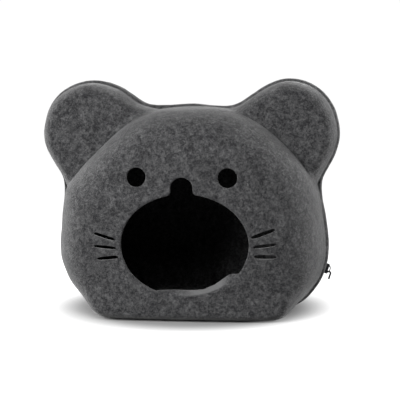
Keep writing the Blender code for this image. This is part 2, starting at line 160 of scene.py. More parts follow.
TOP = tuple(TopPoint(*row) for row in (
    (-0.225, 0.0030), (-0.206, 0.0042), (-0.190, 0.0044), (-0.165, 0.0040), (-0.145, 0.0032),
    (-0.132, 0.0018), (-0.119, 0.0000), (-0.105, -0.0020), (-0.090, -0.0020), (-0.075, -0.0013),
    (-0.055, -0.0005), (-0.030, 0.0002), (0.003, -0.0008), (0.030, 0.0004), (0.060, 0.0008),
    (0.085, 0.0005), (0.110, 0.0000), (0.140, 0.0003), (0.165, 0.0010), (0.185, 0.0013),
    (0.200, 0.0021), (0.215, 0.0028), (0.230, 0.0030),
))
TOP_FROM = (0.220, 0.300)

WHISKERS = tuple(Whisker(*row) for row in (
    (-0.0952, 0.1194, -0.1269, 0.1284, 0.0033), (-0.0936, 0.1073, -0.1271, 0.1096, 0.0030),
    (-0.0907, 0.0946, -0.1222, 0.0907, 0.0034), (0.1015, 0.1242, 0.1357, 0.1363, 0.0040),
    (0.1049, 0.1109, 0.1375, 0.1149, 0.0033), (0.1058, 0.0972, 0.1380, 0.0966, 0.0042),
))


# Small mesh helpers


def loft(rings: list[list[Vector]], tip: Vector | None = None) -> bmesh.types.BMesh:
    """Extrude a first ring's face through the other rings.

    Args:
        rings: Rings of points, all with the same count.
        tip: A point that the last face is drawn up to.

    Returns:
        A closed bmesh.
    """
    bm = bmesh.new()
    face = bm.faces.new([bm.verts.new(point) for point in rings[0]])
    for number, ring in enumerate(rings[1:]):
        passed = face
        grown = bmesh.ops.extrude_face_region(bm, geom=[passed])
        face = next(item for item in grown["geom"] if isinstance(item, bmesh.types.BMFace))
        if number:
            bmesh.ops.delete(bm, geom=[passed], context="FACES_ONLY")
        for vert, point in zip(face.verts, ring):
            vert.co = point
    if tip:
        poked = bmesh.ops.poke(bm, faces=[face])
        poked["verts"][0].co = tip
    bmesh.ops.recalc_face_normals(bm, faces=bm.faces)
    return bm


def prism(points: list, depths: tuple) -> bmesh.types.BMesh:
    """A closed prism of an outline in the XZ plane, between two depths along Y."""
    return loft([[Vector((x, y, z)) for x, z in points] for y in depths])


def add_object(name: str, bm: bmesh.types.BMesh) -> bpy.types.Object:
    """Turn a bmesh into a linked object at the origin.

    Args:
        name: The object's name.
        bm: The mesh, which is freed.

    Returns:
        The new object.
    """
    mesh = bpy.data.meshes.new(name)
    bm.to_mesh(mesh)
    bm.free()
    obj = bpy.data.objects.new(name, mesh)
    bpy.context.scene.collection.objects.link(obj)
    return obj


def discard(obj: bpy.types.Object) -> None:
    """Remove an object and its mesh."""
    mesh = obj.data
    bpy.data.objects.remove(obj)
    bpy.data.meshes.remove(mesh)


def apply_modifiers(obj: bpy.types.Object) -> None:
    """Bake an object's modifiers into its mesh."""
    graph = bpy.context.evaluated_depsgraph_get()
    baked = bpy.data.meshes.new_from_object(obj.evaluated_get(graph))
    old = obj.data
    obj.modifiers.clear()
    obj.data = baked
    baked.name = old.name
    bpy.data.meshes.remove(old)


def combine(obj: bpy.types.Object, tools: list[bpy.types.Object], operation: str) -> None:
    """Join or cut an object with closed tools, one after another, and discard the tools.

    Args:
        obj: The object that is changed.
        tools: The closed meshes that it is joined or cut with.
        operation: UNION or DIFFERENCE.
    """
    for tool in tools:
        step = obj.modifiers.new(tool.name, "BOOLEAN")
        step.operation = operation
        step.solver = "MANIFOLD"
        step.object = tool
    apply_modifiers(obj)
    for tool in tools:
        discard(tool)


def relax(bm: bmesh.types.BMesh, verts: list[bmesh.types.BMVert]) -> None:
    """Move points half the way to the middle of their neighbours."""
    bmesh.ops.smooth_vert(bm, verts=verts, factor=0.5, use_axis_x=True, use_axis_y=True,
                          use_axis_z=True)


def round_edges(bm: bmesh.types.BMesh, offset: float, segments: int) -> None:
    """Bevel all edges of a mesh."""
    bmesh.ops.bevel(bm, geom=bm.edges[:], offset=offset, affect="EDGES", segments=segments,
                    profile=0.5, material=-1, clamp_overlap=True)


def shade_smooth(obj: bpy.types.Object) -> None:
    """Shade every face of an object smooth."""
    obj.data.polygons.foreach_set("use_smooth", [True] * len(obj.data.polygons))


def finish_piece(obj: bpy.types.Object, material: bpy.types.Material,
                 node: str) -> None:
    """Dress a piece, tie it to the cave and hide the CAD node that it stands for.

    Args:
        obj: The piece.
        material: Its material.
        node: The CAD node that it replaces.
    """
    obj.data.materials.clear()
    obj.data.materials.append(material)
    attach(obj, BODY)
    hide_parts(node)
    LOG.info("%s: %d faces", obj.name, len(obj.data.polygons))


# Outlines


@dataclass
class Outline:
    """A closed outline in the XZ plane, from a half table that is mirrored and smoothed."""

    half: tuple
    sway: str
    steps: int
    spline_steps: int = 12
    rows: np.ndarray = field(init=False)

    def __post_init__(self) -> None:
        """Run a smooth closed curve through the table and space its rows evenly."""
        rows = [np.array(row) for row in self.half]
        mirror = np.array([-1.0] + [1.0] * (len(rows[0]) - 1))
        rows += [row * mirror for row in reversed(rows[1:-1])]
        fine = []
        for i in range(len(rows)):
            before, start, end, after = (rows[(i + k) % len(rows)] for k in (-1, 0, 1, 2))
            for step in range(self.spline_steps):
                u = step / self.spline_steps
                fine.append(0.5 * (2 * start + (end - before) * u
                                   + (2 * before - 5 * start + 4 * end - after) * u * u
                                   + (3 * start - before - 3 * end + after) * u ** 3))
        fine.append(fine[0])
        fine = np.array(fine)
        travelled = np.concatenate([[0], np.cumsum(np.hypot(*np.diff(fine[:, :2], axis=0).T))])
        wanted = np.arange(self.steps) * travelled[-1] / self.steps
        self.rows = np.column_stack([np.interp(wanted, travelled, column) for column in fine.T])
        self.rows[:, 1:] = np.maximum(self.rows[:, 1:], 0.0)
        heights = [row.z for row in SWAY]
        shifts = [getattr(row, self.sway) for row in SWAY]
        self.rows[:, 0] += np.interp(self.rows[:, 1], heights, shifts)
        if self.sway == "rim":
            share = np.interp(self.rows[:, 1], TOP_FROM, (0.0, 1.0))
            drop = np.interp(self.rows[:, 0], *np.array(TOP).T)
            self.rows[:, 1] -= share * drop

    @property
    def outward(self) -> np.ndarray:
        """Unit normals in the XZ plane that point out of the outline."""
        along = np.roll(self.rows[:, :2], -1, axis=0) - np.roll(self.rows[:, :2], 1, axis=0)
        normal = np.column_stack([-along[:, 1], along[:, 0]])
        return normal / np.linalg.norm(normal, axis=1)[:, None]

    def drawn_in(self, inset: np.ndarray | float) -> np.ndarray:
        """The outline's points moved inward.

        Args:
            inset: How far, for all points or for each.

        Returns:
            Rows of x and z.
        """
        return self.rows[:, :2] - self.outward * np.reshape(inset, (-1, 1))


# Materials


class NodeBench:
    """A short way to lay out and link the nodes of one material."""

    def __init__(self, name: str) -> None:
        """Start a material with a Principled shader.

        Args:
            name: The material's name.
        """
        self.material = bpy.data.materials.new(name)
        self.material.use_nodes = True
        self.tree = self.material.node_tree
        self.shader = self.tree.nodes["Principled BSDF"]
        self.place = self.add("ShaderNodeTexCoord").outputs["Object"]

    def feed(self, socket: bpy.types.NodeSocket, source: object) -> None:
        """Link a socket to an output, or give it a value."""
        if isinstance(source, bpy.types.NodeSocket):
            self.tree.links.new(source, socket)
        else:
            socket.default_value = source

    def add(self, kind: str, inputs: dict | None = None, **settings: object) -> bpy.types.Node:
        """Add a node and set it up.

        Args:
            kind: The node's type name.
            inputs: Values or sockets by the name or number of the input.
            settings: Properties of the node.

        Returns:
            The node.
        """
        node = self.tree.nodes.new(kind)
        for key, value in settings.items():
            setattr(node, key, value)
        for key, source in (inputs or {}).items():
            self.feed(node.inputs[key], source)
        return node

    def noise(self, scale: float, detail: float = 2.0, roughness: float = 0.5,
              distortion: float = 0.0, vector: object = None) -> bpy.types.NodeSocket:
        """A noise value at a scale in features per metre.

        Args:
            scale: Features per metre.
            detail: Octaves.
            roughness: How strong the finer octaves are.
            distortion: How far the noise is warped by itself.
            vector: Where it is read, or the object's own coordinates.

        Returns:
            The noise's value.
        """
        return self.add("ShaderNodeTexNoise", {
            "Vector": vector or self.place, "Scale": scale, "Detail": detail,
            "Roughness": roughness, "Distortion": distortion}).outputs["Fac"]

    def math(self, operation: str, *values: object) -> bpy.types.NodeSocket:
        """The result of a maths node.

        Args:
            operation: The node's operation.
            values: Its inputs, as sockets or numbers.

        Returns:
            The node's value.
        """
        return self.add("ShaderNodeMath", dict(enumerate(values)), operation=operation).outputs[0]

    def layers(self, *pairs: tuple) -> bpy.types.NodeSocket:
        """A weighted sum.

        Args:
            pairs: Two or more pairs of a value and its weight.

        Returns:
            The sum.
        """
        total, *rest = (self.math("MULTIPLY", value, weight) for value, weight in pairs)
        for part in rest:
            total = self.math("ADD", total, part)
        return total

    def span(self, value: object, low: float, high: float, to_low: float = 0.0,
             to_high: float = 1.0, smooth: bool = True) -> bpy.types.NodeSocket:
        """A value mapped from one range to another.

        Args:
            value: The value.
            low: Where the range starts.
            high: Where it ends.
            to_low: What the start becomes.
            to_high: What the end becomes.
            smooth: Whether the ends are eased.

        Returns:
            The mapped value.
        """
        return self.add("ShaderNodeMapRange", {
            "Value": value, "From Min": low, "From Max": high, "To Min": to_low,
            "To Max": to_high}, interpolation_type="SMOOTHSTEP" if smooth else "LINEAR").outputs[0]

    def blend(self, factor: object, first: object, second: object,
              mode: str = "MIX") -> bpy.types.NodeSocket:
        """Two colours mixed.

        Args:
            factor: How much of the second.
            first: The first colour.
            second: The second colour.
            mode: The blend mode.

        Returns:
            The mixed colour.
        """
        return self.add("ShaderNodeMix", {0: factor, 6: first, 7: second}, data_type="RGBA",
                        blend_type=mode).outputs[2]

    def bump(self, height: object, distance: float) -> bpy.types.NodeSocket:
        """A normal that stands for a height.

        Args:
            height: The height, 0 to 1.
            distance: How many metres a height of 1 stands for.

        Returns:
            The normal.
        """
        return self.add("ShaderNodeBump", {
            "Height": height, "Distance": distance, "Strength": 1.0}).outputs["Normal"]

    def finish(self, inputs: dict[str, object]) -> bpy.types.Material:
        """Set or link the shader's inputs.

        Args:
            inputs: A value or a socket for each input that isn't left as it is.

        Returns:
            The material.
        """
        for key, source in inputs.items():
            self.feed(self.shader.inputs[key], source)
        return self.material


@dataclass(frozen=True)
class MelangeFelt:
    """Needled felt of mixed dark and light grey fibres, matt and slightly fuzzy."""

    name: str = "melange_felt"
    ground: tuple = (0.060, 0.060, 0.062, 1.0)
    dark: tuple = (0.022, 0.022, 0.024, 1.0)
    light: tuple = (0.180, 0.180, 0.182, 1.0)
    # Painted highlight: the lighter grey that the bent-in flap at the entrance's lower right is
    # mixed towards, and how much of it, in place of the light that falls on it.
    painted_highlight: tuple = (0.190, 0.190, 0.192, 1.0)
    pressed_share: float = 0.78
    dark_span: tuple = (0.42, 0.53)
    light_span: tuple = (0.50, 0.62, 0.0, 0.55)
    cloud_span: tuple = (0.30, 0.70, 0.86, 1.14)
    roughness: float = 0.95
    gloss: float = 0.15
    sheen: float = 0.45
    sheen_roughness: float = 0.45
    cloud_scale: float = 45.0
    clump_scale: float = 105.0
    tuft_scale: float = 270.0
    fibre_scales: tuple = (170.0, 310.0, 520.0)
    fibre_width: float = 0.020
    fibre_lengths: tuple = (0.46, 0.60)
    fibre_shift: float = 0.37
    fibre_share: float = 0.70
    grain_scale: float = 900.0
    relief: float = 0.0006

    def fibres(self, bench: NodeBench, scale: float, seed: float) -> bpy.types.NodeSocket:
        """Thin curly lines, where a noise passes through its middle, broken into short lengths.

        Args:
            bench: The material.
            scale: Features per metre.
            seed: Moves the pattern, so that layers differ.

        Returns:
            1 on a fibre and 0 off it.
        """
        vector = bench.add("ShaderNodeMapping", {
            "Vector": bench.place, "Location": (seed, seed * 0.7, seed * 1.3)}).outputs["Vector"]
        middle = bench.math("SUBTRACT", bench.noise(scale, 1.5, 0.5, 0.9, vector), 0.5)
        line = bench.span(bench.math("ABSOLUTE", middle), 0.0, self.fibre_width, 1.0, 0.0)
        breaks = bench.noise(scale * 0.8, 1.0, 0.5, 0.0, vector)
        return bench.math("MULTIPLY", line, bench.span(breaks, *self.fibre_lengths))

    def material(self) -> bpy.types.Material:
        """Build the material.

        Returns:
            The material.
        """
        bench = NodeBench(self.name)
        cloud = bench.noise(self.cloud_scale, 3.0, 0.55)
        clump = bench.noise(self.clump_scale, 3.0, 0.65, 0.4)
        tuft = bench.noise(self.tuft_scale, 3.0, 0.65, 0.3)
        grain = bench.noise(self.grain_scale, 2.0, 0.6)
        speck = bench.layers((tuft, 0.38), (clump, 0.34), (grain, 0.28))
        colour = bench.blend(bench.span(speck, *self.dark_span), self.dark, self.ground)
        colour = bench.blend(bench.span(speck, *self.light_span), colour, self.light)
        line = 0.0
        for number, scale in enumerate(self.fibre_scales):
            one = self.fibres(bench, scale, self.fibre_shift * (number + 1))
            line = bench.math("MAXIMUM", line, one)
        colour = bench.blend(bench.math("MULTIPLY", line, self.fibre_share), colour, self.light)
        shade = bench.span(cloud, *self.cloud_span, smooth=False)
        colour = bench.blend(1.0, colour, shade, "MULTIPLY")
        # Painted highlight: where the vertex layer marks the bent-in flap, the felt is mixed
        # towards the lighter grey, standing in for the light that falls on it.
        painted_highlight = bench.add("ShaderNodeAttribute", attribute_name=PAINTED_HIGHLIGHT).outputs["Fac"]
        painted_highlight = bench.math("MULTIPLY", painted_highlight, self.pressed_share)
        height = bench.layers((tuft, 0.6), (line, 0.25), (grain, 0.25))
        return bench.finish({
            "Base Color": bench.blend(painted_highlight, colour, self.painted_highlight),
            "Normal": bench.bump(height, self.relief),
            "Roughness": self.roughness,
            "Specular IOR Level": self.gloss,
            "Sheen Weight": self.sheen,
            "Sheen Roughness": self.sheen_roughness,
            "Sheen Tint": (1.0, 1.0, 1.0, 1.0),
        })


@dataclass(frozen=True)
class ZipTapeWeave:
    """Black polyester tape with a fine twill weave."""

    name: str = "zip_tape_weave"
    colour: tuple = (0.016, 0.016, 0.018, 1.0)
    raised: tuple = (0.034, 0.034, 0.037, 1.0)
    thread: float = 0.0006
    twill_turn: float = 0.7
    twill_waver: float = 0.4
    relief: float = 0.0002

    def material(self) -> bpy.types.Material:
        """Build the material.

        Returns:
            The material.
        """
        bench = NodeBench(self.name)
        waves = []
        for turn in (self.twill_turn, -self.twill_turn):
            turned = bench.add("ShaderNodeMapping", {
                "Vector": bench.place, "Rotation": (0.0, turn, 0.0)}).outputs["Vector"]
            waves.append(bench.add("ShaderNodeTexWave", {
                "Vector": turned, "Scale": 1.0 / self.thread / 3.2,
                "Distortion": self.twill_waver}, bands_direction="X").outputs["Fac"])
        weave = bench.math("MULTIPLY", *waves)
        return bench.finish({
            "Base Color": bench.blend(weave, self.colour, self.raised),
            "Normal": bench.bump(weave, self.relief),
            "Roughness": 0.80,
            "Sheen Weight": 0.2,
        })


@dataclass(frozen=True)
class WornFinish:
    """A hard dark finish that is rubbed a little brighter and duller in patches."""

    name: str
    colour: tuple
    worn: tuple
    patches: tuple
    patch_span: tuple
    roughness: tuple
    grain: tuple
    relief: float
    metallic: float = 0.0

    def material(self) -> bpy.types.Material:
        """Build the material.

        Returns:
            The material.
        """
        bench = NodeBench(self.name)
        wear = bench.span(bench.noise(*self.patches), *self.patch_span)
        return bench.finish({
            "Base Color": bench.blend(wear, self.colour, self.worn),
            "Roughness": bench.span(wear, 0.0, 1.0, *self.roughness),
            "Normal": bench.bump(bench.noise(*self.grain), self.relief),
            "Metallic": self.metallic,
        })


COIL_NYLON = WornFinish("coil_nylon", (0.018, 0.018, 0.020, 1.0), (0.040, 0.040, 0.043, 1.0),
                        patches=(220.0, 3.0), patch_span=(0.35, 0.65), roughness=(0.32, 0.46),
                        grain=(2500.0, 2.0), relief=0.00004)
DARK_METAL = WornFinish("dark_metal", (0.030, 0.030, 0.033, 1.0), (0.110, 0.110, 0.115, 1.0),
                        patches=(700.0, 4.0, 0.6), patch_span=(0.52, 0.72), roughness=(0.34, 0.50),
                        grain=(1800.0, 3.0), relief=0.00003, metallic=0.3)


# Felt shells


@dataclass
class FaceCuts:
    """The openings of the face: the entrance with its nose, the eyes and the whisker slits."""

    centre: tuple = (0.0060, 0.1125)
    half_width: float = 0.0926
    half_height: float = 0.0740
    steps: int = 150
    nose_radius: float = 0.0160
    nose_x: float = 0.0020
    nose_z: float = 0.1945
    nose_fillet: float = 0.0060
    nose_steps: int = 26
    fillet_steps: int = 7
    eye_radius: float = 0.0140
    eyes_apart: float = 0.1320
    eye_z: float = 0.2102
    eye_sides: int = 48
    slit_spread: float = 0.0020
    slit_taper: tuple = ((0.0, 0.35), (0.06, 0.75), (0.15, 0.95), (0.5, 1.0), (0.85, 0.90),
                         (0.95, 0.70), (1.0, 0.30))
    near: float = -0.200
    far: float = -0.100
    flap_x: tuple = (-0.0340, 0.0180, 0.0330, 0.0503, 0.0705, 0.0790, 0.0900)
    flap_z: tuple = (0.0473, 0.0473, 0.0485, 0.0564, 0.0710, 0.0725, 0.0728)
    flap_blend: float = 0.0012
    # Where along x the bent-in flap gets its groove and its painted highlight, and how far in the
    # painted highlight reaches full strength.
    flap_pale_x: tuple = (-0.004, 0.020, 0.060, 0.072)
    flap_pale_rise: float = 0.0022
    flap_groove: tuple = (0.0014, 0.0016)

    def entrance(self) -> list[tuple[float, float]]:
        """The entrance: an ellipse with the round nose on top and the pressed-in lip kept.

        Returns:
            Points of the XZ plane.
        """
        centre_x, centre_z = self.centre
        reach = self.nose_radius + self.nose_fillet
        turns = {side: math.acos((self.nose_x + side * reach - centre_x) / self.half_width)
                 for side in (-1, 1)}
        around = 2 * math.pi - (turns[-1] - turns[1])
        points = []
        for step in range(self.steps + 1):
            turn = turns[1] - around * step / self.steps
            x = centre_x + self.half_width * math.cos(turn)
            z = centre_z + self.half_height * math.sin(turn)
            if z < centre_z:
                z = max(z, float(np.interp(x, self.flap_x, self.flap_z, left=0.0)))
            points.append((x, z))
        fillets = {}
        for side in (-1, 1):
            foot_z = centre_z + self.half_height * math.sin(turns[side])
            bends = [math.pi / 2 * k / self.fillet_steps for k in range(1, self.fillet_steps + 1)]
            fillets[side] = [(self.nose_x + side * (reach - self.nose_fillet * math.sin(bend)),
                              foot_z + self.nose_fillet * (1 - math.cos(bend))) for bend in bends]
        arc = [math.pi * k / self.nose_steps for k in range(self.nose_steps + 1)]
        nose = [(self.nose_x - self.nose_radius * math.cos(turn),
                 self.nose_z + self.nose_radius * math.sin(turn)) for turn in arc]
        return points + fillets[-1] + nose + fillets[1][::-1]

    def eye(self, side: int) -> list[tuple[float, float]]:
        """A round eye.

        Args:
            side: -1 for the left eye, 1 for the right.

        Returns:
            Points of the XZ plane.
        """
        x = self.nose_x + side * self.eyes_apart / 2
        turns = (2 * math.pi * k / self.eye_sides for k in range(self.eye_sides))
        return [(x + self.eye_radius * math.cos(t), self.eye_z + self.eye_radius * math.sin(t))
                for t in turns]

    def slit(self, whisker: Whisker) -> list[tuple[float, float]]:
        """A slit that tapers to a blunt point at each end.

        Args:
            whisker: The slit's ends and width.

        Returns:
            Points of the XZ plane.
        """
        start = Vector((whisker.x_in, whisker.z_in))
        end = Vector((whisker.x_out, whisker.z_out))
        along = (end - start).normalized()
        across = Vector((-along.y, along.x)) * (whisker.width + self.slit_spread) / 2
        upper = [start.lerp(end, u) + across * w for u, w in self.slit_taper]
        lower = [start.lerp(end, u) - across * w for u, w in reversed(self.slit_taper)]
        return [tuple(point) for point in upper + lower]

    def cutters(self, outlines: list) -> list[bpy.types.Object]:
        """A prism through the face for each outline.

        Args:
            outlines: Lists of points of the XZ plane.

        Returns:
            The cutters.
        """
        return [add_object("face_cutter", prism(points, (self.near, self.far)))
                for points in outlines]

    def openings(self) -> list[bpy.types.Object]:
        """Cutters for the entrance and the eyes, whose edges soften with the skin."""
        return self.cutters([self.entrance(), self.eye(-1), self.eye(1)])

    def slits(self) -> list[bpy.types.Object]:
        """Cutters for the whisker slits, which are cut crisp through the finished skin."""
        return self.cutters([self.slit(whisker) for whisker in WHISKERS])

    def press(self, bm: bmesh.types.BMesh) -> None:
        """Bend the lip inside the ellipse's lower right inward, as a pushed-in edge, and store a
        painted highlight share for it.

        Args:
            bm: The front shell's mesh.
        """
        centre_x, centre_z = self.centre
        # Painted highlight: a vertex layer that marks how much lighter grey the felt paints onto
        # the bent-in flap, in place of the light that falls on it.
        pale = bm.verts.layers.float.new(PAINTED_HIGHLIGHT)
        groove, groove_width = self.flap_groove
        for vert in bm.verts:
            x, y, z = vert.co
            if y > self.far or z > centre_z:
                continue
            across, up = (x - centre_x) / self.half_width, (z - centre_z) / self.half_height
            radius = math.hypot(across, up)
            if 0.5 < radius < 1.05:
                reach = math.hypot(x - centre_x, z - centre_z) / radius
                inside = (1 - radius) * reach
                soft = (inside + math.hypot(inside, self.flap_blend)) / 2
                share = float(np.interp(x, self.flap_pale_x, (0.0, 1.0, 1.0, 0.0)))
                line = max(0.0, 1 - (inside / groove_width) ** 2)
                vert.co.y += soft + groove * share * line ** 2
                # Painted highlight share of this point of the flap.
                vert[pale] = share * min(1.0, max(0.0, inside / self.flap_pale_rise))


@dataclass
class FeltShell:
    """One moulded half of the cave: head dome, ears and lip in one wall of felt."""

    half: Half
    felt: bpy.types.Material
    cuts: FaceCuts | None = None
    wall: float = 0.005
    lip_thick: float = 0.0095
    lip_round: float = 0.0031
    lip_deep: float = 0.0090
    lip_steps: int = 6
    rim_y: float = 0.0028
    face_depth: float = 0.1500
    face_slope: float = math.radians(10)
    face_centre: tuple = (0.006, 0.155)
    face_rings: tuple = (0.95, 0.88, 0.78, 0.66, 0.54, 0.42, 0.30, 0.16)
    ear_depth: float = 0.064
    ear_lean: float = 0.003
    ear_round: float = 0.019
    ear_shoulder: float = 0.044
    overrun: float = 0.010
    shoulder_steps: int = 16
    ear_steps: int = 9
    voxel: float = 0.0013
    faces: int = 190_000
    soften: int = 4
    lumps: tuple = ((38.0, 0.00045), (120.0, 0.00018))
    slit_angle: float = math.radians(55)
    fold_middle: tuple = (45, 0.015)
    fold_ends: tuple = (140, 0.026)
    fold_x: tuple = (0.056, 0.080, 0.104, 0.172, 0.190, 0.208)
    fold_low: float = 0.198
    fold_steps: int = 8
    fold_groove: tuple = (0.0024, 0.0022)
    base_round: tuple = (0.010, 26)
    blank: tuple = (0.62, 0.52)
    blank_area: float = 0.25
    rim: Outline = field(default_factory=lambda: Outline(RIM, "rim", 300))
    head: Outline = field(default_factory=lambda: Outline(HEAD, "head", 240))

    def ring(self, points: np.ndarray, depth: np.ndarray | float) -> list[Vector]:
        """Points of the XZ plane at one depth or at a depth each, on the half's own side."""
        return [Vector((x, self.half.value * own, z))
                for (x, z), own in zip(points, np.broadcast_to(depth, len(points)))]

    def head_form(self, inside: bool) -> bmesh.types.BMesh:
        """The head dome's outer form, or the hollow inside it.

        Args:
            inside: Whether the hollow is wanted.

        Returns:
            A closed bmesh.
        """
        felt = self.wall if inside else 0.0
        lean, radius, deep, edge = self.head.rows[:, 2:].T
        last_turn = np.arctan2(deep, radius * math.tan(self.face_slope))
        shoulder = edge - deep * np.sin(last_turn)
        start = -self.overrun * (2 if inside else 1)
        rings = [self.ring(self.head.drawn_in(felt), start)]
        for step in range(self.shoulder_steps + 1):
            turn = last_turn * step / self.shoulder_steps
            inset = lean + radius - (radius - felt) * np.cos(turn)
            depth = shoulder + (deep - felt) * np.sin(turn)
            rings.append(self.ring(self.head.drawn_in(inset), depth))
        middle = Vector((self.face_centre[0], self.half.value * (self.face_depth - felt),
                         self.face_centre[1]))
        edge_ring = rings[-1]
        for share in self.face_rings:
            rise = 1 - share ** 2
            rings.append([Vector((middle.x + (p.x - middle.x) * share,
                                  p.y + (middle.y - p.y) * rise,
                                  middle.z + (p.z - middle.z) * share)) for p in edge_ring])
        return loft(rings, middle)

    def ear_form(self, inside: bool) -> bmesh.types.BMesh:
        """The shallow ear lobes' outer form, or their hollow.

        Args:
            inside: Whether the hollow is wanted.

        Returns:
            A closed bmesh.
        """
        felt = self.wall if inside else 0.0
        sink, lip = self.rim.rows[:, 2:].T
        foot = lip + sink + felt
        rings = [self.ring(self.rim.drawn_in(foot), -self.overrun * (2 if inside else 1))]
        shoulder = self.ear_depth - self.ear_shoulder
        for step in range(self.ear_steps + 1):
            turn = math.pi / 2 * step / self.ear_steps
            inset = foot + self.ear_lean + (self.ear_round - felt) * (1 - math.cos(turn))
            depth = shoulder + (self.ear_shoulder - felt) * math.sin(turn)
            rings.append(self.ring(self.rim.drawn_in(inset), depth))
        return loft(rings)

    def lip_form(self) -> bmesh.types.BMesh:
        """The lip's outer form: a plate with the whole rim's outline and a rounded edge."""
        rings = [self.ring(self.rim.drawn_in(0.0), -self.overrun)]
        share = self.rim.rows[:, 3] / self.rim.rows[:, 3].max()
        for step in range(self.lip_steps + 1):
            turn = math.pi / 2 * step / self.lip_steps
            depth = self.rim_y + self.lip_thick - self.lip_deep * (1 - math.sin(turn))
            inset = share * self.lip_round * (1 - math.cos(turn))
            rings.append(self.ring(self.rim.drawn_in(inset), depth))
        return loft(rings)

    def trim(self) -> bpy.types.Object:
        """A block that takes away what passes the half's own side of the zip."""
        bm = bmesh.new()
        place = Matrix.Translation((0, -self.half.value * (0.5 - self.rim_y), 0))
        bmesh.ops.create_cube(bm, size=1.0, matrix=place)
        return add_object("trim", bm)

    def remesh(self, obj: bpy.types.Object) -> None:
        """Turn the cut solid into an even skin, soften its edges and thin its flat stretches.

        Args:
            obj: The shell.
        """
        step = obj.modifiers.new("skin", "REMESH")
        step.mode = "VOXEL"
        step.voxel_size = self.voxel * 1
        apply_modifiers(obj)
        bm = bmesh.new()
        bm.from_mesh(obj.data)
        for _ in range(self.soften):
            relax(bm, bm.verts)
        height, passes = self.base_round
        low = [vert for vert in bm.verts if vert.co.z < height]
        for _ in range(passes):
            relax(bm, low)
        self.soften_folds(bm)
        if self.cuts:
            self.cuts.press(bm)
        bm.to_mesh(obj.data)
        bm.free()
        triangles = 2 * len(obj.data.polygons)
        if triangles > self.faces:
            thin = obj.modifiers.new("thin", "DECIMATE")
            thin.ratio = self.faces / triangles
            apply_modifiers(obj)

    def soften_folds(self, bm: bmesh.types.BMesh) -> None:
        """Round the folds where the ears meet the dome, and press a thin line along their middle.

        Args:
            bm: The shell's mesh.
        """
        lean, radius, deep, edge = self.head.rows[:, 2:].T
        turn = np.arcsin(np.clip((self.ear_depth - edge + deep) / deep, 0, 1))
        points = self.head.drawn_in(lean + radius * (1 - np.cos(turn)))
        after = np.roll(points, -1, axis=0)
        fold = []
        for step in range(self.fold_steps):
            between = points + (after - points) * step / self.fold_steps
            share = np.interp(np.abs(between[:, 0]), self.fold_x, (1, 1, 0, 0, 1, 1))
            fold += [(Vector((x, self.half.value * self.ear_depth, z)), part)
                     for (x, z), part in zip(between, share)
                     if self.fold_x[0] < abs(x) < self.fold_x[-1] and z > self.fold_low]
        tree = KDTree(len(fold))
        for i, (place, _) in enumerate(fold):
            tree.insert(place, i)
        tree.balance()
        near = []
        for vert in bm.verts:
            if vert.co.z > self.fold_low - self.fold_ends[1]:
                _, i, distance = tree.find(vert.co)
                part = fold[i][1]
                passes, reach = (middle + (end - middle) * part
                                 for middle, end in zip(self.fold_middle, self.fold_ends))
                if distance < reach:
                    near.append((vert, passes * (1 - (distance / reach) ** 2)))
        for number in range(self.fold_ends[0]):
            relax(bm, [vert for vert, passes in near if passes > number])
        depth, width = self.fold_groove
        for vert, _ in near:
            _, i, _ = tree.find((vert.co.x, self.half.value * self.ear_depth, vert.co.z))
            place, part = fold[i]
            away = math.hypot(vert.co.x - place.x, vert.co.z - place.z) / width
            if away < 1:
                vert.co.y -= self.half.value * depth * (1 - part) * (1 - away ** 2) ** 2

    def unevenness(self, obj: bpy.types.Object) -> None:
        """Move the skin in and out a little, as needled felt is never quite even.

        Args:
            obj: The shell.
        """
        mesh = obj.data
        seed = Vector((3.1, 7.7 * self.half.value, 1.9))
        for vert, normal in zip(mesh.vertices, [n.vector.copy() for n in mesh.vertex_normals]):
            move = sum(height * noise.noise(vert.co * scale + seed) for scale, height in self.lumps)
            vert.co += normal * move
            vert.co.z = max(vert.co.z, 0.0)

    def build(self) -> None:
        """Build the shell and dress it."""
        label = self.half.label
        shell = add_object(f"felt_{label}", self.head_form(False))
        combine(shell, [add_object("ears", self.ear_form(False)),
                        add_object("lip", self.lip_form())], "UNION")
        combine(shell, [add_object("head_hollow", self.head_form(True)),
                        add_object("ear_hollow", self.ear_form(True)), self.trim()], "DIFFERENCE")
        if self.cuts:
            combine(shell, self.cuts.openings(), "DIFFERENCE")
        self.remesh(shell)
        self.unevenness(shell)
        shade_smooth(shell)
        if self.cuts:
            combine(shell, self.cuts.slits(), "DIFFERENCE")
            shell.data.set_sharp_from_angle(angle=self.slit_angle)
        finish_piece(shell, self.felt, f"{label}_shell")
        area = sum(face.area for face in shell.data.polygons) / 2
        LOG.info("%s: %.3f square metres of felt", shell.name, area)


# Zip


@dataclass
class RimPath:
    """The way round the rim that the zip follows, as places at even distances."""

    outline: Outline

    def length(self) -> float:
        """The rim's length."""
        points = self.outline.rows[:, :2]
        return float(np.sum(np.hypot(*(np.roll(points, -1, axis=0) - points).T)))

    def frame_at(self, share: float, inset: float = 0.0) -> Matrix:
        """A place on the rim with x along it, y towards the face and z outward.

        Args:
            share: How far round the rim, 0 to 1.
            inset: How far inside the rim.

        Returns:
            The place.
        """
        count = len(self.outline.rows)
        at = share * count
        i, part = int(at) % count, at - int(at)
        k = (i + 1) % count
        point = self.outline.rows[i, :2] * (1 - part) + self.outline.rows[k, :2] * part
        out = self.outline.outward[i] * (1 - part) + self.outline.outward[k] * part
        out = out / np.linalg.norm(out)
        point = point - out * inset
        turn = Matrix(((-out[1], 0, out[0]), (0, -1, 0), (out[0], 0, out[1]))).transposed().to_4x4()
        return Matrix.Translation((point[0], 0.0, point[1])) @ turn

    def place_near(self, point: Vector) -> Matrix:
        """The place on the rim that is nearest to a point."""
        rows = self.outline.rows
        i = int(np.argmin((rows[:, 0] - point.x) ** 2 + (rows[:, 1] - point.z) ** 2))
        return self.frame_at(i / len(rows))


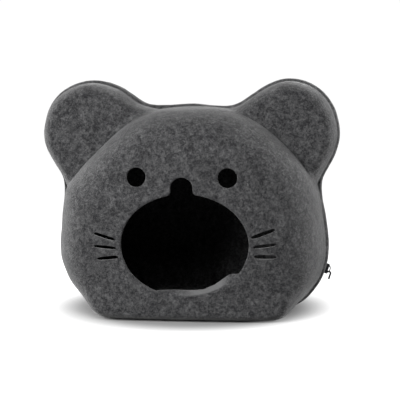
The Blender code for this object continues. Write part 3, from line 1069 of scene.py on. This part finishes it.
@dataclass
class ZipCoil:
    """The closed coil: two rows of nylon loops that mesh, on a cord between the lips."""

    path: RimPath
    nylon: bpy.types.Material
    recess: float = 0.0004
    half_width: float = 0.0025
    depth: float = 0.0030
    pitch: float = 0.0016
    bar: float = 0.00095
    bar_height: float = 0.0013
    overlap: float = 0.0009
    bar_bevel: float = 0.32
    cord_share: float = 0.94
    cord_sink: float = 0.55

    def loop_bar(self, bm: bmesh.types.BMesh) -> None:
        """One loop of the coil, as a rounded bar about the origin.

        Args:
            bm: The mesh that it is added to.
        """
        length = self.half_width + self.overlap
        size = Matrix.Diagonal((self.bar, length, self.bar_height, 1))
        bmesh.ops.create_cube(bm, size=1.0, matrix=size)
        round_edges(bm, self.bar * self.bar_bevel, 1)

    def cord(self) -> bpy.types.Object:
        """The cord under the loops, a closed band round the rim.

        Returns:
            The cord.
        """
        outline, wide = self.path.outline, self.half_width * self.cord_share
        outer = outline.drawn_in(self.recess + self.bar_height * self.cord_sink)
        inner = outline.drawn_in(self.recess + self.depth)
        band, core = (add_object("cord", prism(points, (-reach, reach)))
                      for points, reach in ((outer, wide), (inner, 2 * wide)))
        combine(band, [core], "DIFFERENCE")
        return band

    def build(self) -> None:
        """Build the coil and dress it."""
        bar = bmesh.new()
        self.loop_bar(bar)
        count = int(self.path.length() / self.pitch)
        inset = self.recess + self.bar_height / 2
        shift = (self.half_width - self.overlap) / 2
        bm = bmesh.new()
        one = bpy.data.meshes.new("loop")
        for number in range(count):
            for side in (-1, 1):
                share = (number + (0.5 if side > 0 else 0.0)) / count
                place = self.path.frame_at(share, inset) @ Matrix.Translation((0, side * shift, 0))
                bar.to_mesh(one)
                one.transform(place)
                bm.from_mesh(one)
        cord = self.cord()
        bm.from_mesh(cord.data)
        discard(cord)
        bar.free()
        bpy.data.meshes.remove(one)
        coil = add_object("zip_coil", bm)
        shade_smooth(coil)
        finish_piece(coil, self.nylon, "zip_chain")


@dataclass
class Slider:
    """The slider: a rounded plate over the coil with flanges, and a bridge for the pull."""

    place: Matrix
    metal: bpy.types.Material
    sunk: float = 0.0013
    thick: float = 0.0038
    plan: tuple = ((-0.0075, 0.0030), (-0.0068, 0.0035), (-0.0022, 0.0035), (0.0034, 0.0048),
                   (0.0064, 0.0045), (0.0075, 0.0036))
    bridge_reach: float = 0.0053
    bridge_rise: float = 0.0034
    bridge_half: tuple = (0.0018, 0.0011)
    bridge_foot: float = 0.9

    def build(self) -> None:
        """Build the slider and dress it."""
        plan = [(x, -y) for x, y in self.plan] + [(x, y) for x, y in reversed(self.plan)]
        body = loft([[Vector((x, y, z)) for x, y in plan]
                     for z in (-self.sunk, CLEARANCE + self.thick)])
        round_edges(body, METAL_EDGE, 3)
        slider = add_object("slider_body", body)
        arch = bmesh.new()
        ring = bmesh.ops.create_circle(arch, cap_ends=True, segments=12, radius=1.0)
        across, wire = self.bridge_half
        bmesh.ops.transform(arch, verts=ring["verts"], matrix=(
            Matrix.Translation((-self.bridge_reach, 0, 0)) @ Matrix.Diagonal((wire, across, 1, 1))))
        bmesh.ops.spin(arch, geom=arch.faces[:] + arch.edges[:] + arch.verts[:], cent=(0, 0, 0),
                       axis=(0, 1, 0), angle=math.pi, steps=16)
        bmesh.ops.transform(arch, verts=arch.verts, matrix=(
            Matrix.Translation((0, 0, self.thick * self.bridge_foot))
            @ Matrix.Diagonal((1, 1, self.bridge_rise / self.bridge_reach, 1))))
        bmesh.ops.recalc_face_normals(arch, faces=arch.faces)
        combine(slider, [add_object("bridge", arch)], "UNION")
        slider.data.transform(self.place)
        shade_smooth(slider)
        finish_piece(slider, self.metal, "zip_slider")


@dataclass
class Pull:
    """The pull: a ring round the bridge's lower end with a short tab that hangs from it."""

    place: Matrix
    metal: bpy.types.Material
    ring_x: float = -0.0037
    ring_z: float = 0.0068
    ring_radius: float = 0.0025
    wire: float = 0.0009
    tab_length: float = 0.0105
    tab_width: float = 0.0045
    tab_thick: float = 0.0026
    tab_gap: float = 0.0005
    tab_neck: float = 0.45

    def build(self) -> None:
        """Build the pull and dress it."""
        ring = bmesh.new()
        bmesh.ops.create_circle(ring, segments=10, radius=self.wire,
                                matrix=Matrix.Translation((0, self.ring_radius, 0)))
        bmesh.ops.spin(ring, geom=ring.verts[:] + ring.edges[:], cent=(0, 0, 0), axis=(1, 0, 0),
                       angle=math.tau, steps=24, use_merge=True)
        bmesh.ops.recalc_face_normals(ring, faces=ring.faces)
        bmesh.ops.transform(ring, verts=ring.verts, matrix=Matrix.Translation(
            (self.ring_x, 0, self.ring_z)))
        pull = add_object("slider_pull", ring)
        tab = bmesh.new()
        bmesh.ops.create_cube(tab, size=1.0, matrix=(
            Matrix.Translation((self.ring_x - self.tab_length / 2 - self.tab_gap, 0,
                                self.ring_z + self.ring_radius))
            @ Matrix.Diagonal((self.tab_length, self.tab_width, self.tab_thick, 1))))
        for vert in tab.verts:
            if vert.co.x > self.ring_x - self.tab_length / 2:
                vert.co.y *= self.tab_neck
        round_edges(tab, METAL_EDGE, 3)
        combine(pull, [add_object("tab", tab)], "UNION")
        pull.data.transform(self.place)
        shade_smooth(pull)
        finish_piece(pull, self.metal, "zip_pull")


@dataclass
class ZipTapes:
    """The two tapes behind the lips, which keep their solids and get their weave."""

    weave: bpy.types.Material

    def dress(self) -> None:
        """Put the weave on both tapes."""
        for half in Half:
            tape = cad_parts[f"zip_tape_{half.label}"]
            tape.data.materials.clear()
            tape.data.materials.append(self.weave)
            LOG.info("%s: woven tape", tape.name)


# Studio


@dataclass(frozen=True)
class SoftBox:
    """A soft light that faces the cave."""

    name: str
    place: tuple
    size: tuple
    watts: float


@dataclass
class Studio:
    """A pale floor, soft light from above, the left and behind both sides, and the camera."""

    azimuth: float = math.radians(5.75)
    elevation: float = math.radians(5.0)
    distance: float = 1.90
    aim_side: float = 0.0141
    aim_height: float = 0.1659
    metres_a_pixel: float = 0.00155
    pixels: int = 400
    sensor_mm: float = 36.0
    floor_half: float = 6.0
    floor_tone: tuple = (0.25, 0.25, 0.25, 1.0)
    floor_shown: tuple = (0.50, 0.50, 0.50, 1.0)
    floor_glow: tuple = (0.15, 0.25, 0.0, 1.02)
    surround: float = 1.02
    lit_place: tuple = (0.0, 0.0, 0.15)
    boxes: tuple = (
        SoftBox("top_light", (0.0, -1.50, 1.50), (1.0, 0.9), 17.5),
        SoftBox("left_light", (-1.20, -1.70, 0.90), (1.0, 1.0), 37.0),
        SoftBox("left_rim_light", (-1.55, 0.55, 0.45), (0.9, 0.8), 20.0),
        SoftBox("right_rim_light", (1.55, 0.55, 0.45), (0.9, 0.8), 27.0),
    )

    def floor(self) -> None:
        """Lay the pale floor, darker where the cave stands and glowing white away from it."""
        bm = bmesh.new()
        bmesh.ops.create_grid(bm, x_segments=1, y_segments=1, size=self.floor_half,
                              matrix=Matrix.Translation((0, 0, -CLEARANCE)))
        floor = add_object("studio_floor", bm)
        bench = NodeBench("pale_floor")
        seen = bench.add("ShaderNodeLightPath").outputs["Is Camera Ray"]
        matt = bench.add("ShaderNodeBsdfDiffuse", {
            "Color": bench.blend(seen, self.floor_tone, self.floor_shown)})
        away = bench.add("ShaderNodeVectorMath", {0: bench.place}, operation="LENGTH")
        spread = bench.span(away.outputs["Value"], *self.floor_glow)
        glow = bench.add("ShaderNodeEmission", {"Strength": bench.math("MULTIPLY", seen, spread)})
        both = bench.add("ShaderNodeAddShader", {0: matt.outputs[0], 1: glow.outputs[0]})
        bench.feed(bench.tree.nodes["Material Output"].inputs["Surface"], both.outputs["Shader"])
        floor.data.materials.append(bench.material)

    def light(self) -> None:
        """Light the cave from the soft boxes, in front of a white surround."""
        world = bpy.data.worlds.new("surround")
        world.use_nodes = True
        nodes, links = world.node_tree.nodes, world.node_tree.links
        shown = nodes.new("ShaderNodeMix")
        shown.inputs["A"].default_value = 0.0
        shown.inputs["B"].default_value = self.surround
        links.new(nodes.new("ShaderNodeLightPath").outputs["Is Camera Ray"], shown.inputs["Factor"])
        links.new(shown.outputs["Result"], nodes["Background"].inputs["Strength"])
        nodes["Background"].inputs["Color"].default_value = (1.0, 1.0, 1.0, 1.0)
        bpy.context.scene.world = world
        for box in self.boxes:
            lamp = bpy.data.lights.new(box.name, "AREA")
            lamp.shape = "RECTANGLE"
            lamp.size, lamp.size_y = box.size
            lamp.energy = box.watts
            holder = bpy.data.objects.new(box.name, lamp)
            holder.location = box.place
            look = Vector(self.lit_place) - holder.location
            holder.rotation_euler = look.to_track_quat("-Z", "Y").to_euler()
            bpy.context.scene.collection.objects.link(holder)

    def camera(self) -> None:
        """Set the camera where the photograph was taken from."""
        right = Vector((math.cos(self.azimuth), math.sin(self.azimuth), 0))
        view = Vector((-math.sin(self.azimuth) * math.cos(self.elevation),
                       math.cos(self.azimuth) * math.cos(self.elevation),
                       -math.sin(self.elevation)))
        target = Vector((0, 0, self.aim_height)) + right * self.aim_side
        data = bpy.data.cameras.new("camera")
        data.sensor_width = self.sensor_mm
        data.lens = self.sensor_mm * self.distance / (self.pixels * self.metres_a_pixel)
        camera = bpy.data.objects.new("camera", data)
        camera.location = target - view * self.distance
        camera.rotation_euler = (-view).to_track_quat("Z", "Y").to_euler()
        bpy.context.scene.collection.objects.link(camera)
        bpy.context.scene.camera = camera

    def build(self) -> None:
        """Set up the floor, the light, the camera and how tones are shown."""
        self.floor()
        self.light()
        self.camera()
        bpy.context.scene.view_settings.view_transform = "Standard"


def main() -> None:
    """Set up the studio, then dress the cave piece by piece."""
    logging.basicConfig(level=logging.INFO, format="%(message)s")
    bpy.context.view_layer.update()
    Studio().build()
    felt = MelangeFelt().material()
    FeltShell(Half.FRONT, felt, FaceCuts()).build()
    FeltShell(Half.BACK, felt, face_depth=BACK_DEPTH).build()
    path = RimPath(Outline(RIM, "rim", 300))
    ZipCoil(path, COIL_NYLON.material()).build()
    low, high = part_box("zip_slider")
    place = path.place_near((Vector(low) + Vector(high)) / 2)
    metal = DARK_METAL.material()
    Slider(place, metal).build()
    Pull(place, metal).build()
    ZipTapes(ZipTapeWeave().material()).dress()


if __name__ == "__main__":
    main()
